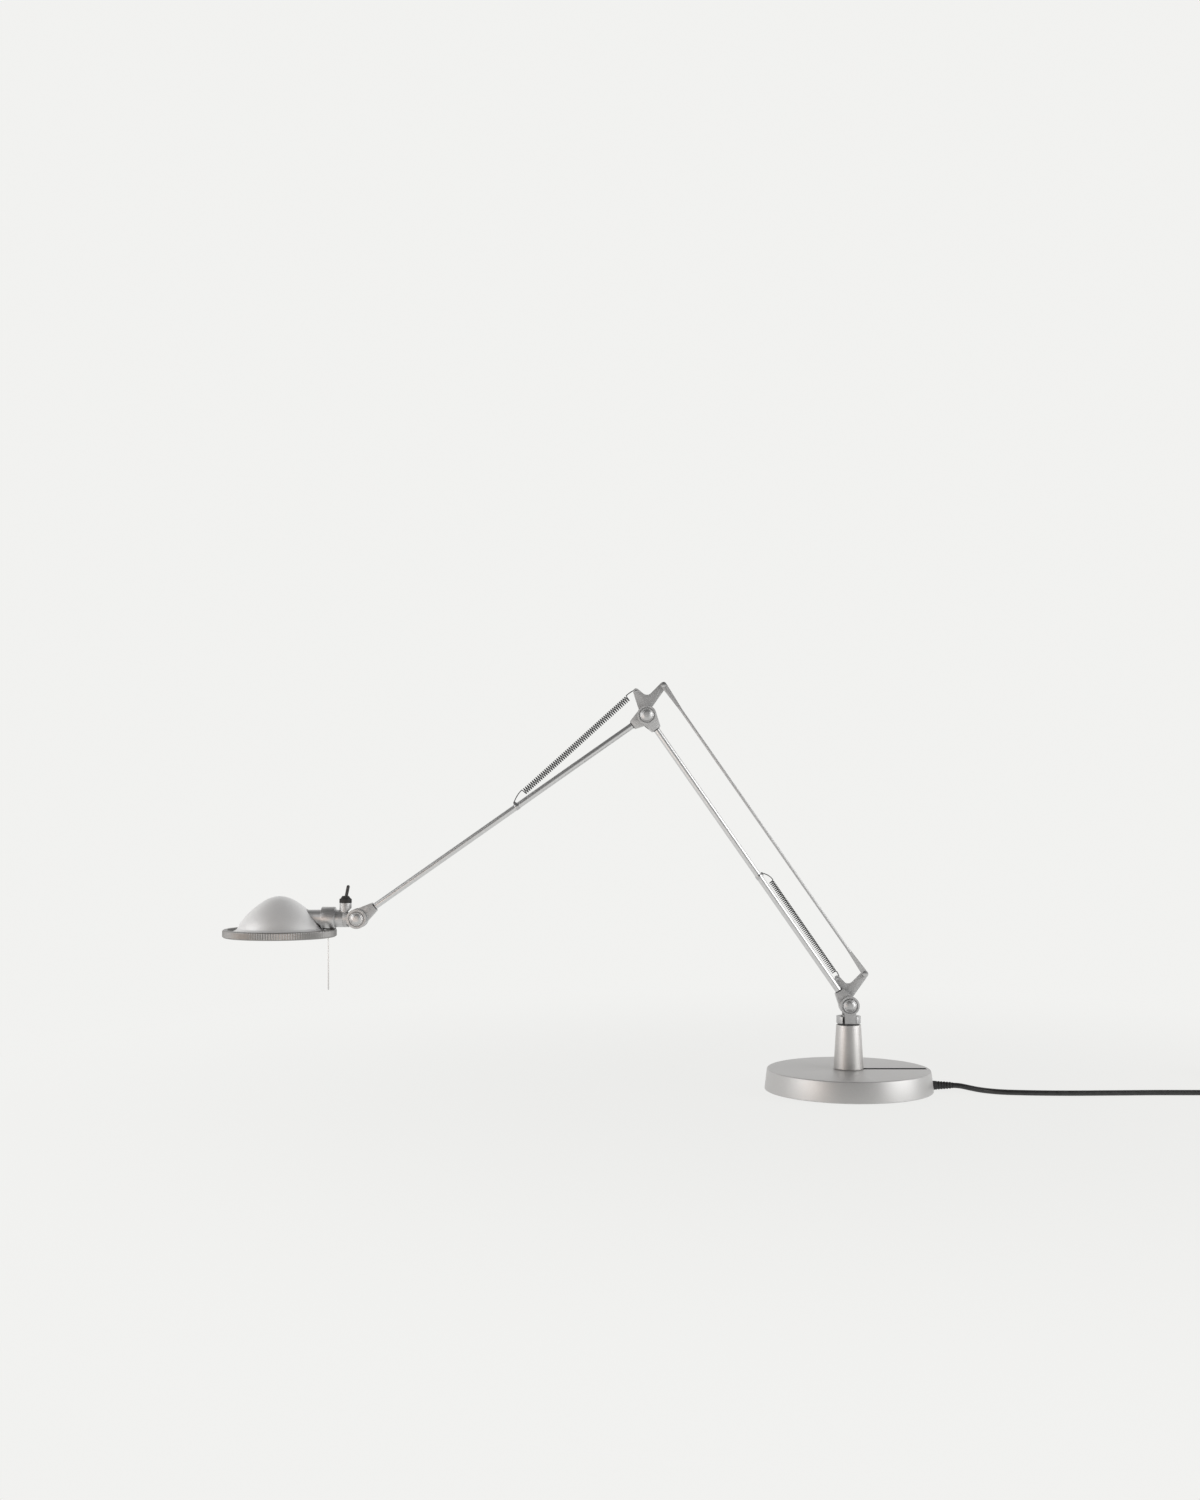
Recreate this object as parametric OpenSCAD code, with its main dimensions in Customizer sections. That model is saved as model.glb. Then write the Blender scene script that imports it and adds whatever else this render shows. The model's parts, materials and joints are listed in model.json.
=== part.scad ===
// Architect desk lamp: round weighted base, two thin arms with a parallel rod and
// two counterbalance springs, and a flat halogen head that tilts and rolls.
// Millimetres, +Z up. Origin at the centre of the foot. The head points to -X.

/* [Base] */
// Diameter of the base at its bottom edge
base_d = 166; // [150:1:180]
// Height of the top face of the base above the table
base_h = 21.4; // [20:0.1:24]
// Diameter of the column at its foot
column_d = 29.5; // [28:0.5:34]
// Height of the column's top above the table
column_top = 65.4; // [64:0.2:66]
// Height of the base pivot above the table
pivot_z = 84.6; // [84.6:0.2:90]

/* [Arms] */
// Distance between the pivots of each arm
arm_len = 350; // [330:5:380]
// Outer diameter of the arm tubes
arm_d = 6.4; // [6:0.1:6.6]
// Lower arm's slope above the horizontal, in degrees
lower_slope = 55.1; // [50:0.1:60]
// Upper arm's slope below the horizontal, in degrees
upper_slope = 35.1; // [30:0.1:40]
// Diameter of the parallel rod
rod_d = 2.8; // [2.4:0.1:3.2]

/* [Head] */
// Outer diameter of the shade ring
ring_d = 111.6; // [108:0.2:116]
// Distance from the head pivot to the middle of the shade
head_reach = 77.2; // [76:0.2:80]
// Diameter of the neck tube
neck_d = 17.3; // [17:0.1:17.6]

/* [Cord] */
// Diameter of the low-voltage cord
cord_d = 5.3; // [5.3:0.1:5.3]

/* [Hidden] */
$fn = 96;

// Base and column
base_r = base_d / 2;
draft = 2.5;
wall = 1.6;
foot_h = 1.0;
plate_t = 1.0;
round_r = 1.2;
column_r = column_d / 2;
column_top_r = column_r - 2.6;
column_bore_r = 8;
spigot_r = 11.9;
spigot_low = 8;
ballast_r = base_r - 5;
ballast_bore_r = 18;
screw_ring_r = 60;
screw_r = 2;
screw_len = 10;
groove_w = 8;
groove_depth = 1.0;
groove_end = base_r - draft - 3.5;
gland_z = 5;
gland_len = 20;

// Swivel: the stem turns in the column
stem_r = 6.2;
stem_low = 28;
bush_low = 46;
washer_t = 1.1;
yoke_low = column_top + 1.4;
collar_r = 12;
collar_low = column_top + 1.5;
collar_top = pivot_z - 10.8;
lug_r = 7.7;
lug_low = 32;
lug_h = 6;
lug_half = 10;

// Joint stack along Y: cheek, knuckle, bracket, cheek
pin_r = 4;
running = 0.05;
gap = 0.3;
eye_r = 9.3;
boss_r = 9.5;
cheek_t = 3;
cheek_front = -9.6;
knuckle_front = -6.3;
knuckle_back = 3.6;
bracket_front = 3.9;
bracket_back = 6.9;
cheek_back = 7.2;
cap_r = 6.7;
cap_h = 2.7;
cavity_r = 13.5;
cap_gap = 0.9;
block_end = 16.9;
head_block_end = 20.4;
block_w = 4.6;
tube_seat = 10.5;
fork_seat = 13.7;

// Parallelogram pins, measured from each arm pivot
rod_x = 17;
rod_z = 30.5;
rod_front = 1.9;
rod_back = 3.6;
rod_pin_r = 1.5;
rod_flat = 34;
spring_pin_r = 1.3;

// Springs, in each arm's own axes (along the arm, and off its upper side)
lower_coil = [[33, 7.5], [144, 7.7]];
lower_hooks = [[27, 7.0], [155, 4.2]];
lower_spring_r = 2.75;
upper_coil = [[4.5, 25.1], [143.6, 8.0]];
upper_hooks = [[-5.5, 25.9], [157, 4.2]];
upper_spring_r = 3.4;
wire_r = 0.5;
spring_y = 7.6;

// Places of the joints
lower_dir = 180 - lower_slope;
upper_dir = 180 + upper_slope;
elbow_x = arm_len * cos(lower_dir);
elbow_z = pivot_z + arm_len * sin(lower_dir);
head_x = elbow_x + arm_len * cos(upper_dir);
head_z = elbow_z + arm_len * sin(upper_dir);

// Head
neck_r = neck_d / 2;
neck_boss_r = 9.8;
neck_cavity_r = 12;
knuckle_side = 6.3;
neck_root = 18;
neck_start = 14;
neck_end = 29.5;
switch_x = head_x - 12;
switch_r = 5.9;
switch_top = head_z + 15.4;
boot_r = 6.1;
boot_h = 6.9;
lever_pivot_z = switch_top + 3;
lever_len = 14.5;
lever_r = 1.6;
lever_tilt = 11;
shade_x = head_x - head_reach;
ring_r = ring_d / 2;
ring_t = 4.8;
ring_low = head_z - 18.1;
ring_top = head_z - 10.5;
skirt_r = 45.5;
spoke_t = 1.2;
skirt_z = head_z - 12.4;
dome_top = head_z + 22.2;
sheet = 1.2;
collar_from = 22;
collar_to = 35.3;
head_collar_r = 11.5;
stub_from = 30;
stub_to = head_reach - 26;
pad_top = head_z - 9.4;
pad_step = 1.4;
handle_r = 0.65;
handle_x = shade_x + 48.1;
handle_low = head_z - 70;

// Cord: points on its centre line, from the gland to the coil and on to the adaptor
cord_r = cord_d / 2;
lead_points = [
    [103, 0, 5], [110, -1, 4.6], [118, -6, 3.6], [126, -13, 2.9], [135, -20, 2.7],
    [147, -26, 2.7], [162, -29, 2.7], [180, -31, 2.7], [200, -32, 2.7], [220, -32, 2.7],
    [245, -31, 2.7], [270, -30, 2.7], [295, -29, 2.7], [320, -29, 2.7], [345, -29, 2.7],
    [370, -29, 2.7], [392, -29.5, 2.7], [415, -30, 2.7]];
tail_points = [
    [449.8, 5, 8], [449.8, 12, 8], [448, 22, 8], [443, 31, 8], [436, 38, 8],
    [431, 45, 8], [430, 53, 8], [430, 58, 8]];
coil_x = 415;
coil_y = 5;
coil_out = 37.5;
coil_in = 16.3;
coil_h = 10.6;
adaptor_x = 430;
adaptor_y = 58;
adaptor_w = 42;
adaptor_l = 52;
adaptor_h = 34;
plug_pin_r = 2;
plug_pin_len = 19;
plug_pin_gap = 19;

// ---- shared shapes ----

// A cylinder along Y between two planes
module ycyl(r, y0, y1) {
    translate([0, y1, 0]) rotate([90, 0, 0]) cylinder(r = r, h = y1 - y0);
}

// A flat shape in the X-Z plane, given thickness along Y
module slab(y0, y1) {
    translate([0, y1, 0]) rotate([90, 0, 0]) linear_extrude(y1 - y0) children();
}

// Each arm's own axes: X along the arm, -Z off its upper side
module on_lower() { translate([0, 0, pivot_z]) rotate([0, -lower_dir, 0]) children(); }
module on_upper() { translate([elbow_x, 0, elbow_z]) rotate([0, -upper_dir, 0]) children(); }
module far_end() { translate([arm_len, 0, 0]) rotate([0, 180, 0]) children(); }

// Side shape of an arm's end block: a round eye that narrows to the tube
module block_outline(r, end = block_end) {
    circle(r);
    polygon([[0, -r], [r * 0.3, -r * 0.95], [end, -block_w], [end, block_w],
             [r * 0.3, r * 0.95], [0, r]]);
}

// End block with one eye, bored for the pin and for the tube
module knuckle(y0, y1, end = block_end) {
    difference() {
        slab(y0, y1) block_outline(eye_r, end);
        ycyl(pin_r + running, y0 - 1, y1 + 1);
        translate([tube_seat, 0, 0]) rotate([0, 90, 0]) cylinder(d = arm_d, h = end);
    }
}

// Arm tube between the two end blocks
module arm_tube(far_seat) {
    rotate([0, 90, 0]) translate([0, 0, tube_seat]) difference() {
        cylinder(d = arm_d, h = arm_len - tube_seat - far_seat);
        translate([0, 0, -1]) cylinder(d = arm_d - 1.6, h = arm_len);
    }
}

// Insulating sleeve where a tube enters its block
module sleeve(end = block_end) {
    translate([end, 0, 0]) rotate([0, 90, 0]) difference() {
        cylinder(r1 = arm_d / 2 + 0.4, r2 = arm_d / 2 + 0.3, h = 0.8);
        translate([0, 0, -1]) cylinder(d = arm_d, h = 4);
    }
}

// Pin across a joint
module pivot_pin(y0, y1) { ycyl(pin_r, y0, y1); }

// Domed cap of a pivot, growing from y towards side (+1 or -1)
module cap(y, side) {
    translate([0, y, 0]) rotate([side > 0 ? -90 : 90, 0, 0]) rotate_extrude()
        polygon(concat([[0, 0], [cap_r, 0], [cap_r, 1.1]],
            [for (a = [15:15:90]) [cap_r * cos(a), 1.1 + (cap_h - 1.1) * sin(a)]]));
}

// Round groove that sets a cap off from the boss it sits on
module cap_groove(y0, y1) {
    difference() {
        ycyl(cap_r + cap_gap, y0, y1);
        ycyl(cap_r, y0 - 1, y1 + 1);
    }
}

// Bracket plate: eye at the pivot, one ear for the rod pin and one for the spring
module bracket_outline(ear) {
    circle(eye_r);
    polygon([[0, 0], [-7.4, 5.5], [ear[0] - 2.8, ear[1] - 1.0], [ear[0] - 2.2, ear[1] + 2.0],
             [ear[0] - 0.6, ear[1] + 2.9], [ear[0] + 1.4, ear[1] + 2.6],
             [-2.6, 21.6], [-0.4, 20.8], [2.2, 20.9], [4.4, 22.4],
             [rod_x - 2.4, rod_z + 2.2], [rod_x - 0.6, rod_z + 3.1], [rod_x + 1.4, rod_z + 2.8],
             [rod_x + 3.1, rod_z + 0.6], [rod_x + 2.6, rod_z - 2.2], [rod_x + 0.6, rod_z - 5.2], [5.0, 7.6]]);
}

module bracket(ear) {
    difference() {
        slab(bracket_front, bracket_back) bracket_outline(ear);
        ycyl(pin_r, bracket_front - 1, bracket_back + 1);
        translate([rod_x, 0, rod_z]) ycyl(rod_pin_r, bracket_front - 1, bracket_back + 1);
        translate([ear[0], 0, ear[1]]) ycyl(spring_pin_r, bracket_front - 1, bracket_back + 1);
    }
}

// Headed pin that carries one end of the parallel rod
module rod_pin() {
    translate([rod_x, 0, rod_z]) {
        ycyl(rod_pin_r, rod_front - gap, bracket_back);
        ycyl(2.6, rod_front - gap - 0.8, rod_front - gap);
    }
}

// Pin that carries a spring's hook, behind the bracket and clear of the arm
module spring_pin(ear) {
    translate([ear[0], 0, ear[1]]) {
        ycyl(spring_pin_r, bracket_front, spring_y + 1.2);
        ycyl(1.9, spring_y + 1.2, spring_y + 1.8);
    }
}

// Clip round an arm with a stud for the other hook
module spring_post(u) {
    translate([u, 0, 0]) difference() {
        union() {
            rotate([0, 90, 0]) translate([0, 0, -2]) cylinder(r = arm_d / 2 + 0.4, h = 4);
            translate([-1.2, -1.2, -4.8]) cube([2.4, 3.4, 2]);
            translate([0, 0, -4.2]) {
                ycyl(0.8, 1, spring_y + 1.1);
                ycyl(1.3, spring_y + 1.1, spring_y + 1.7);
            }
        }
        rotate([0, 90, 0]) translate([0, 0, -4]) cylinder(d = arm_d, h = 8);
    }
}

// A round bar between two points given as [along, off the upper side]
module arm_bar(a, b, r) {
    run = norm(b - a);
    turn = atan2(b[1] - a[1], b[0] - a[0]);
    translate([a[0], 0, -a[1]]) rotate([0, 90 + turn, 0]) cylinder(r = r, h = run);
}

// Spring: the coil as a tube, with a straight wire to each hook
module spring_body(coil, hooks, r) {
    translate([0, spring_y, 0]) {
        difference() {
            arm_bar(coil[0], coil[1], r);
            arm_bar(coil[0] + (coil[1] - coil[0]) * 0.03, coil[1] - (coil[1] - coil[0]) * 0.03, r - 1);
        }
        arm_bar(hooks[0] + (coil[0] - hooks[0]) * 0.35, coil[0], wire_r);
        arm_bar(coil[1], hooks[1] + (coil[1] - hooks[1]) * 0.28, wire_r);
    }
}

// Ears of the two brackets, where the springs are hooked
base_ear = [-10.4, 25.8];
elbow_ear = [-10.4, 24.3];

// Cord sweep: a smooth curve through the points, then one ring of corners per step
sides = 8;
steps = 2;
function curve_at(p, i, t) =
    let(n = len(p) - 1, a = p[max(i - 1, 0)], b = p[i], c = p[min(i + 1, n)], d = p[min(i + 2, n)])
    0.5 * (2 * b + (c - a) * t + (2 * a - 5 * b + 4 * c - d) * t * t
        + (3 * b - a - 3 * c + d) * t * t * t);
function smooth_line(p) = concat(
    [for (i = [0:len(p) - 2]) for (k = [0:steps - 1]) curve_at(p, i, k / steps)], [p[len(p) - 1]]);
function unit(v) = v / norm(v);
function heading(q, i) = unit(q[min(i + 1, len(q) - 1)] - q[max(i - 1, 0)]);
function ring_at(q, i, r) =
    let(d = heading(q, i), s = unit(cross([0, 0, 1], d)), u = cross(d, s))
    [for (k = [0:sides - 1]) q[i] + r * (s * cos(360 * (k + 0.5) / sides) + u * sin(360 * (k + 0.5) / sides))];
function side_faces(n) = [for (i = [0:n - 2]) for (k = [0:sides - 1])
    let(m = (k + 1) % sides)
    for (f = [[i * sides + k, (i + 1) * sides + k, i * sides + m],
              [i * sides + m, (i + 1) * sides + k, (i + 1) * sides + m]]) f];

module sweep(p, r) {
    q = smooth_line(p);
    n = len(q);
    polyhedron(
        points = [for (i = [0:n - 1]) for (c = ring_at(q, i, r)) c],
        faces = concat(side_faces(n), [[for (k = [0:sides - 1]) k]],
            [[for (k = [sides - 1:-1:0]) (n - 1) * sides + k]]));
}

// ---- base ----

module base_cover() {
    color("silver") difference() {
        rotate_extrude($fn = 180) polygon(concat(
            [[spigot_r + 0.1, base_h - wall], [base_r - draft - wall, base_h - wall],
             [base_r - wall, foot_h], [base_r, foot_h]],
            [for (a = [5:17:90]) [base_r - draft - round_r + round_r * cos(a),
                                  base_h - round_r + round_r * sin(a)]],
            [[spigot_r + 0.1, base_h]]));
        translate([0, -groove_w / 2, base_h - groove_depth])
            cube([groove_end, groove_w, 2]);
        translate([base_r - 8, 0, gland_z]) rotate([0, 90, 0]) cylinder(r = 3.8, h = 12);
    }
}

module groove_inlay() {
    color("black") translate([column_r + 0.2, -groove_w / 2, base_h - groove_depth])
        cube([groove_end - column_r - 0.2, groove_w, groove_depth - 0.1]);
}

module base_column() {
    color("silver") difference() {
        union() {
            rotate_extrude() polygon([[0, base_h], [column_r, base_h], [column_r, base_h + 0.6],
                [column_top_r, column_top - 0.5], [column_top_r - 0.5, column_top], [0, column_top]]);
            translate([0, 0, spigot_low]) cylinder(r = spigot_r, h = base_h - spigot_low);
        }
        translate([0, 0, spigot_low - 1]) cylinder(r = column_bore_r, h = column_top);
        translate([column_bore_r - 1, 0, lug_low + lug_h / 2]) rotate([0, 90, 0])
            cylinder(r = 1.2, h = 4);
    }
}

module column_nut() {
    color("gray") translate([0, 0, base_h - wall - 6]) difference() {
        cylinder(r = 16.5, h = 6, $fn = 6);
        translate([0, 0, -1]) cylinder(r = spigot_r, h = 8);
    }
}

module ballast() {
    color("dimgray") difference() {
        translate([0, 0, foot_h + plate_t])
            cylinder(r = ballast_r, h = base_h - wall - foot_h - plate_t - 0.2);
        translate([0, 0, -1]) cylinder(r = ballast_bore_r, h = base_h + 2);
        for (a = [30:120:270]) rotate(a) translate([screw_ring_r, 0, 0])
            cylinder(r = screw_r, h = foot_h + screw_len + 1);
    }
}

module bottom_plate() {
    color("gray") difference() {
        translate([0, 0, foot_h]) cylinder(r = base_r - wall - 0.4, h = plate_t);
        for (a = [30:120:270]) rotate(a) translate([screw_ring_r, 0, 0])
            cylinder(r = screw_r, h = 5);
    }
}

module foot_pad() {
    color("black") difference() {
        cylinder(r = base_r - 6, h = foot_h);
        for (a = [30:120:270]) rotate(a) translate([screw_ring_r, 0, -1])
            cylinder(r = 5, h = 5);
    }
}

module bottom_screws() {
    color("gray") for (a = [30:120:270]) rotate(a) translate([screw_ring_r, 0, 0]) difference() {
        union() {
            translate([0, 0, foot_h]) cylinder(r = screw_r, h = screw_len);
            translate([0, 0, 0.2]) cylinder(r = 3.6, h = foot_h - 0.2);
        }
        translate([0, 0, 0]) cylinder(r = 1.4, h = 0.8, $fn = 6);
    }
}

module swivel_bush() {
    color("white") difference() {
        union() {
            translate([0, 0, bush_low]) cylinder(r = column_bore_r, h = column_top - bush_low);
            translate([0, 0, column_top]) cylinder(r = 10.6, h = washer_t);
        }
        translate([0, 0, bush_low - 1]) cylinder(r = stem_r + running, h = 30);
    }
}

module stop_pin() {
    color("gray") translate([stem_r + 0.4, 0, lug_low + lug_h / 2]) rotate([0, 90, 0])
        cylinder(r = 1.2, h = 4);
}

module cord_gland() {
    color("black") translate([0, 0, gland_z]) rotate([0, 90, 0]) {
        translate([0, 0, base_r - 2]) cylinder(r = 3.8, h = 2.5);
        translate([0, 0, base_r + 0.1]) cylinder(r1 = 4.4, r2 = 3.1, h = gland_len - 0.1);
    }
}

module cord_lead() { color("black") sweep(lead_points, cord_r); }
module cord_tail() { color("black") sweep(tail_points, cord_r); }

module cord_coil() {
    color("black") translate([coil_x, coil_y, 0]) difference() {
        cylinder(r = coil_out, h = coil_h);
        translate([0, 0, -1]) cylinder(r = coil_in, h = coil_h + 2);
    }
}

module cord_tie() {
    color("dimgray") translate([coil_x - coil_out - 0.8, coil_y - 3, 0]) difference() {
        cube([coil_out - coil_in + 1.6, 6, coil_h + 0.8]);
        translate([0.8, -1, -1]) cube([coil_out - coil_in, 8, coil_h + 1]);
    }
}

module adaptor_body() {
    color("black") translate([adaptor_x - adaptor_w / 2, adaptor_y, 0]) difference() {
        cube([adaptor_w, adaptor_l, adaptor_h]);
        for (x = [0, adaptor_w]) translate([x, -1, adaptor_h]) rotate([0, 45, 0])
            translate([-1.5, 0, -1.5]) cube([3, adaptor_l + 2, 3]);
    }
}

module adaptor_pins() {
    color("silver") for (s = [-1, 1])
        translate([adaptor_x + s * plug_pin_gap / 2, adaptor_y + adaptor_l, adaptor_h / 2])
            rotate([-90, 0, 0]) cylinder(r = plug_pin_r, h = plug_pin_len);
}

// ---- swivel ----

module swivel_yoke() {
    color("silver") difference() {
        union() {
            translate([0, 0, stem_low]) cylinder(r = stem_r, h = collar_top - stem_low + 0.6);
            translate([-5, cheek_front, yoke_low])
                cube([11.2, -cheek_front, collar_top - yoke_low + 0.6]);
            translate([-5, cheek_front, yoke_low])
                cube([11.2, cheek_t, pivot_z - yoke_low]);
            translate([0, 0, pivot_z]) ycyl(boss_r, cheek_front, cheek_front + cheek_t);
            translate([0, 0, pivot_z]) ycyl(boss_r, cheek_front - 0.5, cheek_front);
            intersection() {
                translate([0, 0, lug_low]) cylinder(r = lug_r, h = lug_h);
                translate([0, 0, lug_low]) linear_extrude(lug_h) polygon([[0, 0],
                    [-10, -10 * tan(lug_half)], [-10, 10 * tan(lug_half)]]);
            }
        }
        translate([-10, bracket_front, yoke_low]) cube([20, 10, 30]);
        translate([0, 0, pivot_z]) {
            ycyl(pin_r, cheek_front - 1, cheek_front + cheek_t + 1);
            ycyl(cap_r, cheek_front - 1, cheek_front);
            cap_groove(cheek_front - 1, cheek_front + 1);
        }
    }
}

module swivel_clip() {
    color("gray") translate([0, 0, bush_low - 1.2]) difference() {
        cylinder(r = stem_r + 1.2, h = 1);
        translate([0, 0, -1]) cylinder(r = stem_r, h = 3);
    }
}

module stop_collar() {
    color("silver") difference() {
        translate([0, 0, collar_low]) cylinder(r = collar_r, h = collar_top - collar_low);
        translate([0, 0, collar_low - 1]) cylinder(r = stem_r, h = 20);
        translate([-7.3, -14, collar_low - 1]) cube([13.7, 14, 20]);
        translate([-6.6, 0, collar_low - 1]) cube([13.2, bracket_back, 20]);
    }
}

module base_bracket() {
    color("silver") {
        translate([0, 0, pivot_z]) bracket(base_ear);
        translate([-5.6, bracket_front, yoke_low + 0.2])
            cube([11.2, bracket_back - bracket_front, pivot_z - 5.2 - yoke_low]);
    }
}

module base_pin() {
    color("gray") translate([0, 0, pivot_z]) pivot_pin(cheek_front, bracket_back);
}

module base_caps() {
    color("silver") translate([0, 0, pivot_z]) {
        cap(cheek_front, -1);
        cap(bracket_back, 1);
    }
}

module base_rod_pin() { color("gray") translate([0, 0, pivot_z]) rod_pin(); }
module base_spring_pin() { color("gray") translate([0, 0, pivot_z]) spring_pin(base_ear); }

// ---- lower arm ----

module lower_knuckle() { color("silver") on_lower() knuckle(knuckle_front, knuckle_back); }

module lower_tube() { color("silver") on_lower() arm_tube(fork_seat); }

// Fork at the elbow: two cheeks either side of the upper arm's eye and the bracket
module lower_fork() {
    color("silver") on_lower() far_end() difference() {
        union() {
            slab(cheek_front, cheek_back + cheek_t) block_outline(boss_r);
            ycyl(boss_r, cheek_front - 0.5, cheek_front);
        }
        ycyl(cavity_r, knuckle_front - gap, bracket_back + gap);
        ycyl(pin_r + running, cheek_front - 1, cheek_back + cheek_t + 1);
        ycyl(cap_r + cap_gap, cheek_front - 1, cheek_front);
        cap_groove(cheek_front - 1, cheek_front + 1);
        translate([fork_seat - 2, 0, 0]) rotate([0, 90, 0]) cylinder(d = arm_d, h = block_end);
    }
}

module lower_sleeves() {
    color("black") on_lower() {
        sleeve();
        far_end() sleeve();
    }
}

module lower_spring_post() { color("gray") on_lower() spring_post(lower_hooks[1][0]); }

module lower_spring() {
    color("dimgray") on_lower() spring_body(lower_coil, lower_hooks, lower_spring_r);
}

// ---- parallel rod ----

module rod_end() {
    difference() {
        slab(rod_front, rod_back) union() {
            circle(3);
            polygon([[0, -3], [rod_flat, -rod_d / 2 + 0.2], [rod_flat, rod_d / 2 - 0.2], [0, 3]]);
        }
        ycyl(rod_pin_r + running, rod_front - 1, rod_back + 1);
    }
}

module parallel_rod() {
    color("silver") translate([rod_x, 0, pivot_z + rod_z]) rotate([0, -lower_dir, 0]) {
        rod_end();
        far_end() rod_end();
        translate([rod_flat - 8, (rod_front + rod_back) / 2, 0]) rotate([0, 90, 0])
            cylinder(d = rod_d, h = arm_len - 2 * rod_flat + 16);
    }
}

// ---- elbow ----

module elbow_bracket() { color("silver") translate([elbow_x, 0, elbow_z]) bracket(elbow_ear); }

module elbow_pin() {
    color("gray") translate([elbow_x, 0, elbow_z])
        pivot_pin(cheek_front - gap, cheek_back + cheek_t + gap);
}

module elbow_caps() {
    color("silver") translate([elbow_x, 0, elbow_z]) {
        cap(cheek_front - gap, -1);
        cap(cheek_back + cheek_t + gap, 1);
    }
}

module elbow_rod_pin() { color("gray") translate([elbow_x, 0, elbow_z]) rod_pin(); }
module elbow_spring_pin() { color("gray") translate([elbow_x, 0, elbow_z]) spring_pin(elbow_ear); }

// ---- upper arm ----

module upper_knuckle() { color("silver") on_upper() knuckle(knuckle_front, knuckle_back); }

module upper_tube() { color("silver") on_upper() arm_tube(tube_seat); }

module upper_end() {
    color("silver") on_upper() far_end() knuckle(-knuckle_side, knuckle_side, head_block_end);
}

module upper_sleeves() {
    color("black") on_upper() {
        sleeve();
        far_end() sleeve(head_block_end);
    }
}

module upper_spring_post() { color("gray") on_upper() spring_post(upper_hooks[1][0]); }

module upper_spring() {
    color("dimgray") on_upper() spring_body(upper_coil, upper_hooks, upper_spring_r);
}

// ---- neck and switch ----

module neck_fork() {
    color("silver") difference() {
        union() {
            translate([head_x, 0, head_z]) {
                for (y = [cheek_front, -cheek_front - cheek_t]) ycyl(neck_boss_r, y, y + cheek_t);
                rotate([0, -90, 0]) cylinder(r = neck_r, h = neck_start);
                rotate([0, -90, 0]) cylinder(r = neck_r - 1.2, h = neck_root);
            }
            translate([switch_x, 0, head_z]) cylinder(r = switch_r, h = switch_top - head_z);
        }
        translate([head_x, 0, head_z]) {
            ycyl(neck_cavity_r, -knuckle_side - gap, knuckle_side + gap);
            ycyl(pin_r, -20, 20);
            translate([0, -knuckle_side - gap, -30]) cube([30, 2 * (knuckle_side + gap), 60]);
            cap_groove(cheek_front - 1, cheek_front + 1);
            cap_groove(-cheek_front - 1, -cheek_front + 1);
        }
    }
}

module neck_tube() {
    color("silver") difference() {
        translate([head_x - neck_start, 0, head_z]) rotate([0, -90, 0]) difference() {
            cylinder(r = neck_r, h = neck_end - neck_start);
            translate([0, 0, -1]) cylinder(r = neck_r - 1.2, h = 80);
        }
        translate([switch_x, 0, head_z]) cylinder(r = switch_r + 0.05, h = 20);
    }
}

module neck_pin() {
    color("gray") translate([head_x, 0, head_z]) pivot_pin(cheek_front, -cheek_front);
}

module neck_caps() {
    color("silver") translate([head_x, 0, head_z]) {
        cap(cheek_front, -1);
        cap(-cheek_front, 1);
    }
}

module switch_boot() {
    color("black") translate([switch_x, 0, switch_top]) rotate_extrude()
        polygon([[0, 0], [boot_r, 0], [boot_r, 3.8], [boot_r - 0.5, 4.3], [4.5, 4.8],
                 [3.4, boot_h], [2.75, boot_h], [2.75, 0.8], [0, 0.8]]);
}

module switch_lever() {
    color("black") translate([switch_x, 0, lever_pivot_z]) rotate([0, lever_tilt, 0]) {
        sphere(1.9);
        cylinder(r = lever_r, h = lever_len - 1.2);
        translate([0, 0, lever_len - 1.2]) sphere(lever_r);
        ycyl(0.6, -2.55, 2.55);
    }
}

// ---- head ----

// Collar that turns on the neck, with the stub that carries the dome
module head_collar() {
    color("silver") difference() {
        translate([head_x, 0, head_z]) difference() {
            rotate([0, -90, 0]) difference() {
                union() {
                    translate([0, 0, collar_from]) cylinder(r = head_collar_r, h = collar_to - collar_from);
                    translate([0, 0, stub_from]) cylinder(r = neck_r, h = stub_to - stub_from);
                }
                translate([0, 0, collar_from - 1]) cylinder(r = neck_r + running, h = stub_from - collar_from + 1);
                cylinder(r = neck_r - 1.2, h = 80);
            }
            translate([-50, -20, -40]) cube([40, 40, 40 + pad_top - head_z]);
        }
        translate([shade_x, 0, skirt_z - 1]) cylinder(r1 = 38.5, r2 = 23.4, h = 27);
    }
}

module collar_pad() {
    color("black") translate([head_x - collar_to + pad_step, -5, ring_top])
        cube([collar_to - pad_step - collar_from, 10, pad_top - ring_top]);
}

module shade_ring() {
    color("silver") translate([shade_x, 0, ring_low]) rotate_extrude($fn = 180)
        polygon([[ring_r - ring_t, 0], [ring_r - 0.5, 0], [ring_r, 0.5],
                 [ring_r, ring_top - ring_low - 0.5], [ring_r - 0.5, ring_top - ring_low],
                 [ring_r - ring_t, ring_top - ring_low]]);
}

module ring_spokes() {
    spoke_in = skirt_r - 1.2;
    color("silver") for (a = [45:90:315]) translate([shade_x, 0, skirt_z - spoke_t]) rotate(a)
        translate([spoke_in, -1.5, 0]) cube([ring_r - ring_t - 0.05 - spoke_in, 3, spoke_t]);
}

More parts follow.
